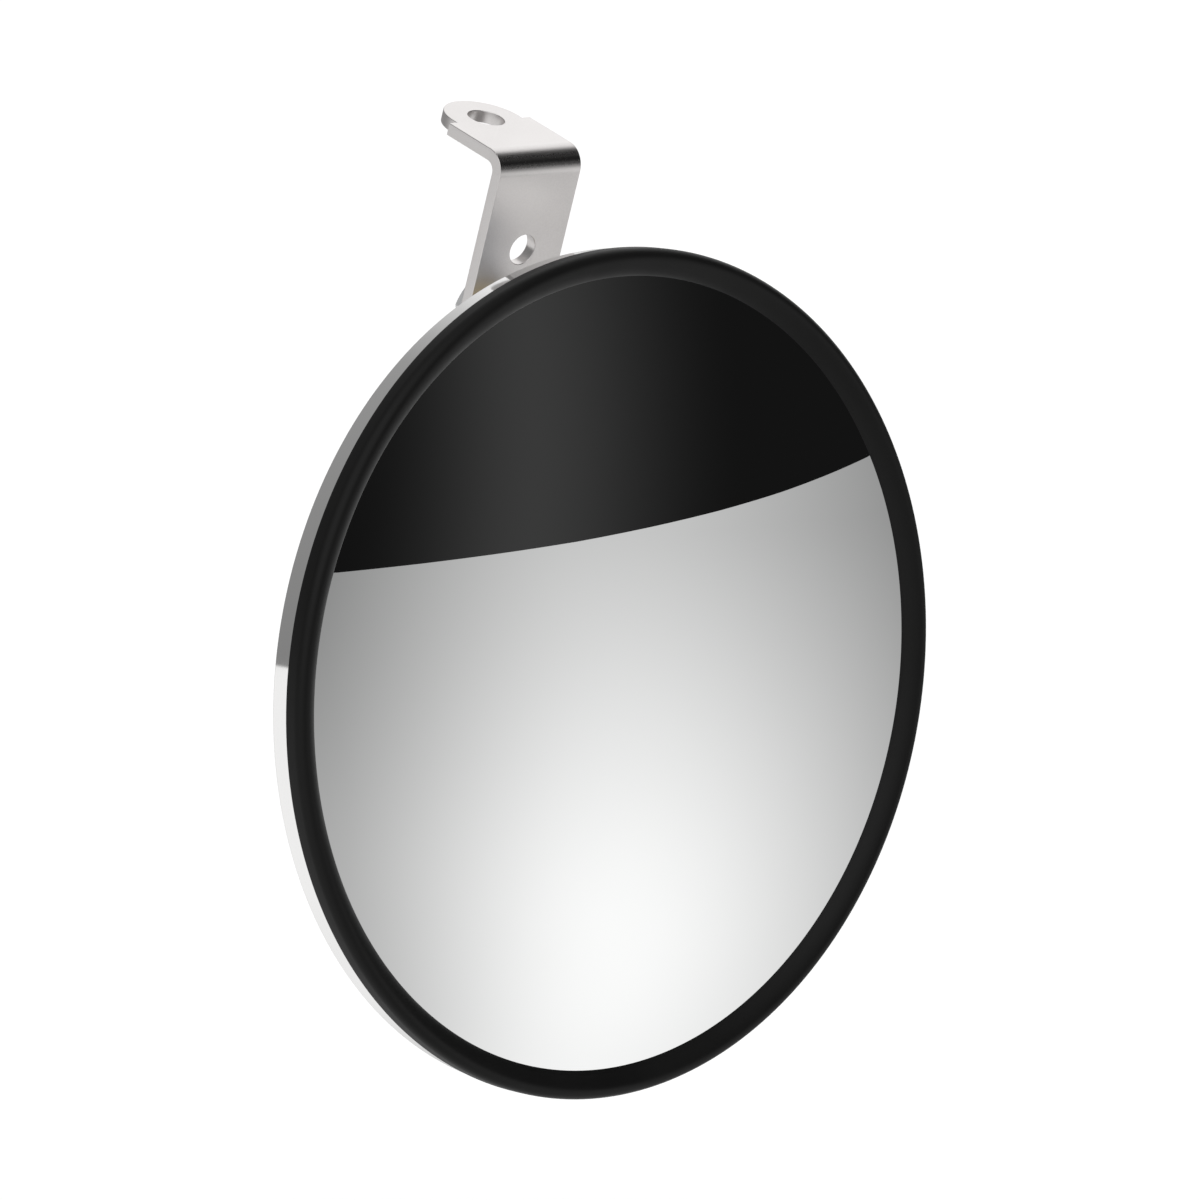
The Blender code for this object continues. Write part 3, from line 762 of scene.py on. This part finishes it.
def threaded_outline(smooth, start, end, radius, pitch, tip):
    """outline_at for a turned piece whose points between start and end follow a screw thread."""
    depth = THREAD_DEPTH * pitch
    count = int(round((end - start) / pitch * THREAD_POINTS))

    def outline_at(angle):
        points = list(smooth)
        for index in range(count + 1):
            height = start + (end - start) * index / count
            phase = (height / pitch - angle / TAU) % 1.0
            rise = min(max((abs(2.0 * phase - 1.0) - THREAD_ROOT) / THREAD_FLANK, 0.0), 1.0)
            fade = min(1.0, (height - start) / pitch, (end - height) / (0.6 * pitch) + 0.25)
            points.append((radius - depth * max(fade, 0.0) * (1.0 - rise), height))
        return points + tip

    return outline_at


STUD_RADIUS = 4.0 * MM
STUD_LENGTH = 28.5 * MM
NECK_RADIUS = 2.7 * MM
NECK_END = 8.4 * MM
THREAD_START = 9.6 * MM
STUD_PITCH = 1.25 * MM
NUT_FLATS = 13.0 * MM
NUT_FACE = 0.475
NUT_CHAMFER = math.radians(27)
JAM_NUT_HEIGHT = 4.2 * MM
REAR_NUT_HEIGHT = 5.6 * MM
WASHER_THICKNESS = 1.5 * MM
WASHER_RADIUS = 8.0 * MM
LOCK_WASHER_RADIUS = 6.6 * MM


def ball_stud():
    neck_angle = math.degrees(math.asin(NECK_RADIUS / BALL_RADIUS))
    ball = arc((0.0, 0.0), BALL_RADIUS, -90, 90 - neck_angle - 2, 40)
    neck = [
        (NECK_RADIUS, BALL_RADIUS, 0.5 * MM),
        (NECK_RADIUS, NECK_END, 0.6 * MM),
        (STUD_RADIUS - 0.15 * MM, THREAD_START),
    ]
    smooth = ball[:-1] + rounded([ball[-1]] + neck, closed=False)
    end = STUD_LENGTH - 0.3 * MM
    tip = [(STUD_RADIUS - 0.9 * MM, STUD_LENGTH), (0.0, STUD_LENGTH)]
    outline_at = threaded_outline(smooth, THREAD_START + 0.1 * MM, end, STUD_RADIUS, STUD_PITCH, tip)
    obj = finish_mesh("threaded_ball_stud", revolved(outline_at, 72), STUD_PLACE, YELLOW)
    stands_for(obj, "stud", "yellow_zinc", "ball_stud")


def hexagon_radius(flats, angle):
    return 0.5 * flats / math.cos((angle % math.radians(60)) - math.radians(30))


def hex_nut(name, flats, hole, height, place, mat):
    """A hexagon nut with both faces turned to a cone, so that its corners show the usual curved chamfer."""
    face = NUT_FACE * flats

    def outline_at(angle):
        corner = hexagon_radius(flats, angle)
        fall = max((corner - face) * math.tan(NUT_CHAMFER), 0.02 * MM)
        return [
            (hole, 0.5 * MM), (hole + 0.5 * MM, 0.0),
            (face - 0.1 * MM, 0.0), (face, 0.02 * MM),
            (corner, fall), (corner, height - fall),
            (face, height - 0.02 * MM), (face - 0.1 * MM, height),
            (hole + 0.5 * MM, height), (hole, height - 0.5 * MM),
        ]

    return finish_mesh(name, revolved(outline_at, 120), place, mat, 24.0)


def split_washer(place):
    """A spring washer with a slanting slit."""
    sweep = math.radians(351)
    slant = math.radians(9)
    section = ring_section(STUD_RADIUS + GAP, LOCK_WASHER_RADIUS, 0.0, WASHER_THICKNESS, 0.12 * MM, 3)
    bm = bmesh.new()
    rows = []
    steps = 90
    for step in range(steps + 1):
        row = []
        for radius, height in section:
            angle = sweep * step / steps + (height / WASHER_THICKNESS - 0.5) * slant
            row.append(bm.verts.new((radius * math.cos(angle), radius * math.sin(angle), height)))
        rows.append(row)
    for here, there in zip(rows, rows[1:]):
        wall(bm, here, there)
    bm.faces.new(rows[0])
    bm.faces.new(rows[-1])
    return finish_mesh("split_washer", bm, place, ZINC)


def along_stud(height):
    return STUD_PLACE @ Matrix.Translation((0.0, 0.0, height))


def stud_fasteners():
    hole = STUD_RADIUS + THREAD_GAP
    height = BALL_REACH - GAP - WASHER_THICKNESS
    section = ring_section(STUD_RADIUS + GAP, WASHER_RADIUS, 0.0, WASHER_THICKNESS, 0.2 * MM)
    washer = turned("flat_washer", section, along_stud(height), ZINC)
    stands_for(washer, "stud", "zinc_plate", "front_washer")
    height -= GAP + JAM_NUT_HEIGHT
    nut = hex_nut("front_hex_nut", NUT_FLATS, hole, JAM_NUT_HEIGHT, along_stud(height), YELLOW)
    stands_for(nut, "stud", "yellow_zinc", "jam_nut")
    height = BALL_REACH + SHEET + GAP
    stands_for(split_washer(along_stud(height)), "stud", "zinc_plate", "lock_washer")
    height += WASHER_THICKNESS + GAP
    nut = hex_nut("rear_hex_nut", NUT_FLATS, hole, REAR_NUT_HEIGHT, along_stud(height), ZINC)
    stands_for(nut, "stud", "zinc_plate", "rear_nut")


# Height, half length and half width of a recess blade's wide end and of its tip
RECESS_MOUTH = (0.6 * MM, 1.75 * MM, 0.34 * MM)
RECESS_TIP = (-1.3 * MM, 0.7 * MM, 0.26 * MM)


def recess_blade(place):
    """One tapered blade of the cross in a screw's head."""
    bm = bmesh.new()
    rows = []
    for height, half_long, half_wide in (RECESS_MOUTH, RECESS_TIP):
        signs = ((-1, -1), (1, -1), (1, 1), (-1, 1))
        rows.append([bm.verts.new((side * half_long, end * half_wide, height)) for side, end in signs])
        bm.faces.new(rows[-1])
    wall(bm, rows[0], rows[1])
    return finish_mesh("recess", bm, place, None)


def socket_screws():
    head = FLANGE + FLANGE_SHEET + GAP
    nut_low = STIFFENER - GAP - SCREW_NUT_HEIGHT
    tip = nut_low - SCREW_TIP
    end = head - SCREW_SHANK
    low = [(0.0, tip), (SCREW_RADIUS - 0.45 * MM, tip)]
    crown = rounded([
        (SCREW_RADIUS, end + 0.1 * MM),
        (SCREW_RADIUS, head),
        (SCREW_HEAD_RADIUS, head, 0.12 * MM),
        (SCREW_HEAD_RADIUS, head + 0.9 * MM, 0.3 * MM),
        (SCREW_HEAD_RADIUS - 0.75 * MM, head + SCREW_HEAD_HEIGHT - 0.25 * MM, 0.9 * MM),
        (0.0, head + SCREW_HEAD_HEIGHT),
    ], closed=False, steps=6)
    outline_at = threaded_outline(low, tip + 0.3 * MM, end, SCREW_RADIUS, SCREW_PITCH, crown)
    for number, x, z in screw_spots():
        spot = Matrix.Translation(BALL + Vector((x, 0.0, z))) @ BACK
        screw = finish_mesh("pan_screw_%d" % number, revolved(outline_at, 48), spot, ZINC)
        top = spot @ Matrix.Translation((0.0, 0.0, head + SCREW_HEAD_HEIGHT - 0.1 * MM))
        turns = (20 + RECESS_TURN * number, 110 + RECESS_TURN * number)
        cut_by(screw, [recess_blade(top @ Matrix.Rotation(math.radians(turn), 4, "Z")) for turn in turns])
        even_normals(screw, 35.0)
        stands_for(screw, "mirror_head", "zinc_plate", "socket_screw_%d" % number)
        below = spot @ Matrix.Translation((0.0, 0.0, nut_low)) @ Matrix.Rotation(NUT_TURN * number, 4, "Z")
        hole = SCREW_RADIUS + THREAD_GAP
        nut = hex_nut("small_nut_%d" % number, SCREW_NUT_FLATS, hole, SCREW_NUT_HEIGHT, below, ZINC)
        stands_for(nut, "mirror_head", "zinc_plate", "socket_nut_%d" % number)


# ---------------------------------------------------------------- bracket

WIDTH = 25.4 * MM
BEND_RADIUS = 5.4 * MM
PLATE_SHOULDER = LEG_FRONT + 20.6 * MM
PLATE_HOLE_BACK = LEG_FRONT + 21.9 * MM
PLATE_HOLE_RADIUS = 4.5 * MM
PLATE_END_RADIUS = 10.3 * MM
SPARE_HOLE_DROP = 24.4 * MM
SPARE_HOLE_RADIUS = 3.8 * MM
STUD_HOLE_RADIUS = 4.3 * MM
CUTTER_BACK = -5 * MM
CUTTER_FRONT = 2 * MM
HOLE_CUTTER = 7 * MM
HOLE_STEPS = 120


def strip_profile():
    inner = BEND_RADIUS - SHEET
    centre = (LEG_FRONT + BEND_RADIUS, -BEND_RADIUS)
    plate_end = PLATE_HOLE_BACK + PLATE_END_RADIUS + MM
    leg_end = -STUD_DROP - 0.5 * WIDTH - MM
    outside = arc(centre, BEND_RADIUS, 90, 180, 36)
    inside = arc(centre, inner, 180, 90, 36)
    front = [(plate_end, 0.0)] + outside + [(LEG_FRONT, leg_end)]
    back = [(LEG_FRONT + SHEET, leg_end)] + inside + [(plate_end, -SHEET)]
    return front + back


def end_waste(shoulder, rounded_end, beyond):
    """Outline of what is cut away past a rounded end of the strip, out to beyond."""
    wide = 0.5 * WIDTH + MM
    return [(wide, shoulder)] + rounded_end + [(-wide, shoulder), (-wide, beyond), (wide, beyond)]


def l_bracket():
    bm = prism(strip_profile(), -0.5 * WIDTH, 0.5 * WIDTH)
    for vert in bm.verts:
        vert.co = (vert.co.z, vert.co.x, vert.co.y)
    obj = finish_mesh("bent_bracket", bm, BRACKET_PLACE, SATIN)
    across = math.degrees(math.asin((PLATE_HOLE_BACK - PLATE_SHOULDER) / PLATE_END_RADIUS))
    plate_arc = arc((0.0, PLATE_HOLE_BACK), PLATE_END_RADIUS, -across, 180 + across, 80)
    plate_end = end_waste(PLATE_SHOULDER, plate_arc, PLATE_HOLE_BACK + PLATE_END_RADIUS + 3 * MM)
    leg_arc = arc((0.0, STUD_DROP), 0.5 * WIDTH, 0, 180, 80)
    leg_end = end_waste(STUD_DROP, leg_arc, STUD_DROP + WIDTH)
    through_leg = BRACKET_PLACE @ Matrix.Translation((0.0, LEG_FRONT, 0.0)) @ BACK
    tools = [
        finish_mesh("plate_end", prism(plate_end, CUTTER_BACK, CUTTER_FRONT), BRACKET_PLACE, None),
        finish_mesh("leg_end", prism(leg_end, CUTTER_BACK, SHEET - CUTTER_BACK), through_leg, None),
    ]
    for name, place, low, distance, radius in (
        ("plate_hole", BRACKET_PLACE, CUTTER_BACK, PLATE_HOLE_BACK, PLATE_HOLE_RADIUS),
        ("spare_hole", through_leg, -CUTTER_FRONT, SPARE_HOLE_DROP, SPARE_HOLE_RADIUS),
        ("stud_hole", through_leg, -CUTTER_FRONT, STUD_DROP, STUD_HOLE_RADIUS),
    ):
        outline = circle((0.0, distance), radius, HOLE_STEPS)
        tools.append(finish_mesh(name, prism(outline, low, low + HOLE_CUTTER), place, None))
    cut_by(obj, tools)
    bevelled(obj, 0.16 * MM)
    stands_for(obj, "bracket", "satin_steel", "l_bracket")


mirror_lens()
edge_gasket()
back_shell()
foam_pad()
socket_plates()
socket_cap()
wave_washer()
socket_cup()
round_seats()
ball_stud()
stud_fasteners()
socket_screws()
l_bracket()


# ---------------------------------------------------------------- studio

FLOOR_DROP = 0.075
FLOOR_SIZE = 30.0
DEGREES = 180.0 / math.pi


class Sky(Nodes):
    """The world's node tree, which makes the studio's light from its direction."""

    def dot(self, direction, other):
        made = self.node("ShaderNodeVectorMath")
        made.operation = "DOT_PRODUCT"
        self.plug(direction, made.inputs[0])
        self.plug(other, made.inputs[1])
        return made.outputs["Value"]

    def curve(self, value, low, high, stops, ease="LINEAR"):
        """Maps a number between low and high through (number, level) stops."""
        span = high - low
        share = self.math("DIVIDE", self.math("SUBTRACT", value, low), span, True)
        return self.ramp(share, [((number - low) / span, level) for number, level in stops], ease)

    def mix(self, share, a, b):
        """Mixes two numbers. Inputs 0, 2 and 3 and output 0 are the node's number sockets."""
        made = self.node("ShaderNodeMix")
        made.data_type = "FLOAT"
        self.plug(share, made.inputs[0])
        self.plug(a, made.inputs[2])
        self.plug(b, made.inputs[3])
        return made.outputs[0]


def grey(level):
    """Linear light of an 8-bit screen grey."""
    share = level / 255.0
    return share / 12.92 if share <= 0.04045 else ((share + 0.055) / 1.055) ** 2.4


SILVER = 0.935
SCREEN_GAMMA = 2.2

# How far the horizon lies below level, by compass angle from -Y towards +X. All angles are in degrees.
HORIZON_DROP = [
    (0, 0), (15, 0.13), (22, 0.29), (29, 0.43), (36, 0.56), (43, 0.61), (50, 0.645), (57, 0.63), (63, 0.56),
    (69, 0.48), (90, 0),
]
# The front floor's screen grey by degrees below the horizon, and what is added to it by compass angle. Both
# angles lean a little on each other, because the brightest patch of the floor lies askew.
FLOOR_SLOPE = [
    (-90, 240), (-60, 236), (-46, 236), (-40, 238), (-34, 241), (-30, 246), (-27, 249.7), (-24, 250.9),
    (-22, 250.2), (-20, 247.9), (-18, 244.4), (-16, 240.1), (-14, 235.3), (-12, 230.2), (-10, 224.7),
    (-8, 219), (-6, 213.2), (-4, 207.5), (-2, 202), (0, 196),
]
FLOOR_TURN = [
    (-180, 8), (-110, 2), (-60, 0), (-40, -12), (-22, -50), (-8, -85), (5, -93), (12, -75), (16, -58.5),
    (20, -42), (24, -27), (28, -14.6), (32, -5.4), (36, -0.6), (40, 0), (44, -2.7), (48, -7.5), (52, -14),
    (56, -21.4), (60, -29.3), (64, -37.8), (68, -46.7), (72, -55.9), (80, -64), (92, -58), (110, -30),
    (135, 0), (180, 8),
]
FLOOR_TURN_LOWEST = -100
FLOOR_TURN_SPAN = 120
TURN_LEAN = 0.26
RISE_LEAN = 0.1
LEAN_MIDDLE = 40.0
# The back floor's light by degrees below the horizon, towards the sides and towards the rear
BACK_FLOOR = 0.93
SIDE_FLOOR_SLOPE = [
    (-90, BACK_FLOOR), (-60, BACK_FLOOR), (-42, BACK_FLOOR), (-32, BACK_FLOOR), (-25, 0.88), (-18, 0.66),
    (-12, 0.50), (-6, 0.38), (0, 0.32),
]
REAR_FLOOR_SLOPE = [
    (-90, BACK_FLOOR), (-60, BACK_FLOOR), (-48, 0.92), (-41, 0.90), (-36, 0.78), (-28, 0.65), (-20, 0.58),
    (-12, 0.50), (-6, 0.40), (0, 0.34),
]
# The dark upper front's screen grey, by compass angle
DARK_TURN = [
    (12, 17), (14, 17), (16, 18), (18, 20.9), (20, 26.6), (22, 33), (24, 40), (26, 46.7), (28, 52.2),
    (30, 56), (32, 57.5), (34, 55.3), (36, 52), (38, 48), (40, 43), (42, 38.2), (44, 33.2), (46, 28.5),
    (48, 24.2), (50, 21), (52, 19), (54, 19), (60, 19),
]
DARK_LEAN = 0.2
# Both soft lights, by the cosine of the angle from their middles
LIGHT_MIDDLE = Vector((0.74, 0.36, 0.57)).normalized()
LIGHT_CEILING = 1.4
LIGHT_SPREAD = [
    (-1.0, 0.02), (-0.7, 0.12), (-0.45, 0.20), (-0.15, 0.235), (0.27, 0.27), (0.585, 0.30), (0.677, 0.32),
    (0.755, 0.41), (0.819, 0.56), (0.84, 0.63), (0.858, 0.715), (0.873, 0.82), (0.92, 1.14), (0.96, 1.21),
    (1.0, 1.22),
]
FRONT_LIGHT_MIDDLE = Vector((-0.50, -0.62, 0.60)).normalized()
FRONT_LIGHT_STRENGTH = 1.35
FRONT_LIGHT_SPREAD = [
    (0.3, 0.0), (0.45, 0.0), (0.60, 0.0), (0.70, 0.1), (0.78, 0.5), (0.88, 0.95), (0.94, 1.0), (1.0, 1.0),
]
SOFT_ABOVE = 0.95
SOFT_BELOW = 0.9
BACKDROP = 1.0


def front_floor(sky, turn, rise):
    low_turn = sky.math("ADD", turn, sky.math("MULTIPLY", rise, TURN_LEAN))
    lean = sky.math("MULTIPLY", sky.math("SUBTRACT", low_turn, LEAN_MIDDLE), RISE_LEAN)
    low_rise = sky.math("ADD", rise, lean)
    low_rise = sky.mix(sky.curve(turn, 0, 120, [(80, 0.0), (100, 1.0)]), low_rise, rise)
    low_rise = sky.mix(sky.curve(turn, -120, 0, [(-20, 1.0), (0, 0.0)]), low_rise, rise)
    shares = [(angle, (added - FLOOR_TURN_LOWEST) / FLOOR_TURN_SPAN) for angle, added in FLOOR_TURN]
    by_turn = sky.curve(low_turn, -180, 180, shares, "B_SPLINE")
    levels = [(angle, level / 255) for angle, level in FLOOR_SLOPE]
    by_rise = sky.curve(low_rise, -90, 0, levels, "B_SPLINE")
    added = sky.math("SUBTRACT", by_turn, -FLOOR_TURN_LOWEST / FLOOR_TURN_SPAN)
    added = sky.math("MULTIPLY", added, FLOOR_TURN_SPAN / 255)
    light = sky.math("POWER", sky.math("ADD", by_rise, added, True), SCREEN_GAMMA)
    return sky.math("DIVIDE", light, SILVER)


def back_floor(sky, rise, x, y):
    side_slope = sky.curve(rise, -90, 0, SIDE_FLOOR_SLOPE, "B_SPLINE")
    rear_slope = sky.curve(rise, -90, 0, REAR_FLOOR_SLOPE, "B_SPLINE")
    slope = sky.mix(sky.curve(y, -1, 1, [(0.56, 0.0), (0.7, 1.0)], "EASE"), side_slope, rear_slope)
    leftward = sky.curve(x, -1, 1, [(-0.3, 1.0), (0.0, 0.0)], "EASE")
    aside = sky.curve(y, -1, 1, [(0.84, 1.0), (0.94, 0.0)], "EASE")
    return sky.mix(sky.math("MULTIPLY", leftward, aside), slope, BACK_FLOOR)


def above_horizon(sky, direction, turn, rise, y, z):
    """The dark front, the main light at the right and behind, and the front light at the left."""
    high_turn = sky.math("SUBTRACT", turn, sky.math("MULTIPLY", rise, DARK_LEAN))
    levels = [(angle, grey(level) / SILVER) for angle, level in DARK_TURN]
    dark = sky.curve(high_turn, 0, 90, levels, "B_SPLINE")
    spread = [(cosine, level / LIGHT_CEILING) for cosine, level in LIGHT_SPREAD]
    light = sky.math("MULTIPLY", sky.curve(sky.dot(direction, LIGHT_MIDDLE), -1, 1, spread), LIGHT_CEILING)
    upright = sky.math("SQRT", sky.math("ADD", sky.math("POWER", y, 2.0), sky.math("POWER", z, 2.0)))
    backward = sky.math("DIVIDE", y, sky.math("MAXIMUM", upright, 1e-4))
    share = sky.curve(backward, -1, 1, [(-0.22, 0.0), (-0.1, 0.18), (0.0, 0.55), (0.15, 1.0)], "EASE")
    upper = sky.math("ADD", dark, sky.math("MULTIPLY", share, light))
    front_light = sky.curve(sky.dot(direction, FRONT_LIGHT_MIDDLE), -1, 1, FRONT_LIGHT_SPREAD, "B_SPLINE")
    return sky.math("ADD", upper, sky.math("MULTIPLY", front_light, FRONT_LIGHT_STRENGTH))


def studio():
    """Polished pieces see graded surroundings, soft light is even, and the camera sees a plain backdrop."""
    world = bpy.data.worlds.new("studio")
    bpy.context.scene.world = world
    world.use_nodes = True
    world.node_tree.nodes.clear()
    sky = Sky(world.node_tree)
    direction = sky.node("ShaderNodeTexCoord").outputs["Generated"]
    x, y, z = sky.node("ShaderNodeSeparateXYZ", Vector=direction).outputs
    turn = sky.math("MULTIPLY", sky.math("ARCTAN2", x, sky.math("MULTIPLY", y, -1.0)), DEGREES)
    rise = sky.math("MULTIPLY", sky.math("ARCSINE", z), DEGREES)
    rise = sky.math("ADD", rise, sky.curve(turn, 0, 90, HORIZON_DROP))
    behind = sky.curve(y, -1, 1, [(-0.1, 0.0), (0.25, 1.0)])
    lower = sky.mix(behind, front_floor(sky, turn, rise), back_floor(sky, rise, x, y))
    upper = above_horizon(sky, direction, turn, rise, y, z)
    below = sky.math("LESS_THAN", rise, 0.0)
    path = sky.node("ShaderNodeLightPath")
    soft = sky.mix(below, SOFT_ABOVE, SOFT_BELOW)
    level = sky.mix(path.outputs["Is Diffuse Ray"], sky.mix(below, upper, lower), soft)
    level = sky.mix(path.outputs["Is Camera Ray"], level, BACKDROP)
    background = sky.node("ShaderNodeBackground", Color=level)
    output = sky.node("ShaderNodeOutputWorld")
    sky.plug(background.outputs[0], output.inputs["Surface"])


def floor():
    """A pale floor that the camera and soft light see. The polished pieces see the surroundings instead."""
    height = cad_low.z - FLOOR_DROP
    bm = bmesh.new()
    signs = ((-1, -1), (1, -1), (1, 1), (-1, 1))
    bm.faces.new([bm.verts.new((side * FLOOR_SIZE, end * FLOOR_SIZE, height)) for side, end in signs])
    look = Look("pale_floor", (0.86, 0.86, 0.86), 0.9)
    look.set("Emission Color", (1.0, 1.0, 1.0, 1.0))
    look.set("Emission Strength", 0.22)
    tone = look.noise(look.coordinates(), 3.0, 2.0)
    look.link(look.mix(tone, (0.85, 0.85, 0.85), (0.87, 0.87, 0.87)), "Base Color")
    look.set("Specular IOR Level", 0.0)
    obj = finish_mesh("floor", bm, Matrix.Identity(4), look.mat)
    obj.visible_glossy = False


studio()
floor()


# ---------------------------------------------------------------- camera

CAMERA_FROM_MIRROR = Vector((-1.11133, -1.19983, 0.26799))
CAMERA_TURN = 42.657
CAMERA_DROP = 8.702
CAMERA_LENS = 212.99


def camera():
    data = bpy.data.cameras.new("camera")
    obj = bpy.data.objects.new("camera", data)
    bpy.context.scene.collection.objects.link(obj)
    data.lens = CAMERA_LENS
    data.sensor_width = 36.0
    data.clip_start = 0.05
    data.clip_end = 200.0
    turn = math.radians(CAMERA_TURN)
    drop = math.radians(CAMERA_DROP)
    ahead = Vector((math.sin(turn) * math.cos(drop), math.cos(turn) * math.cos(drop), -math.sin(drop)))
    obj.location = MIRROR + CAMERA_FROM_MIRROR
    obj.rotation_mode = "QUATERNION"
    obj.rotation_quaternion = ahead.to_track_quat("-Z", "Y")
    bpy.context.scene.camera = obj


camera()

bpy.context.scene.view_settings.view_transform = "Standard"
bpy.context.scene.view_settings.look = "None"
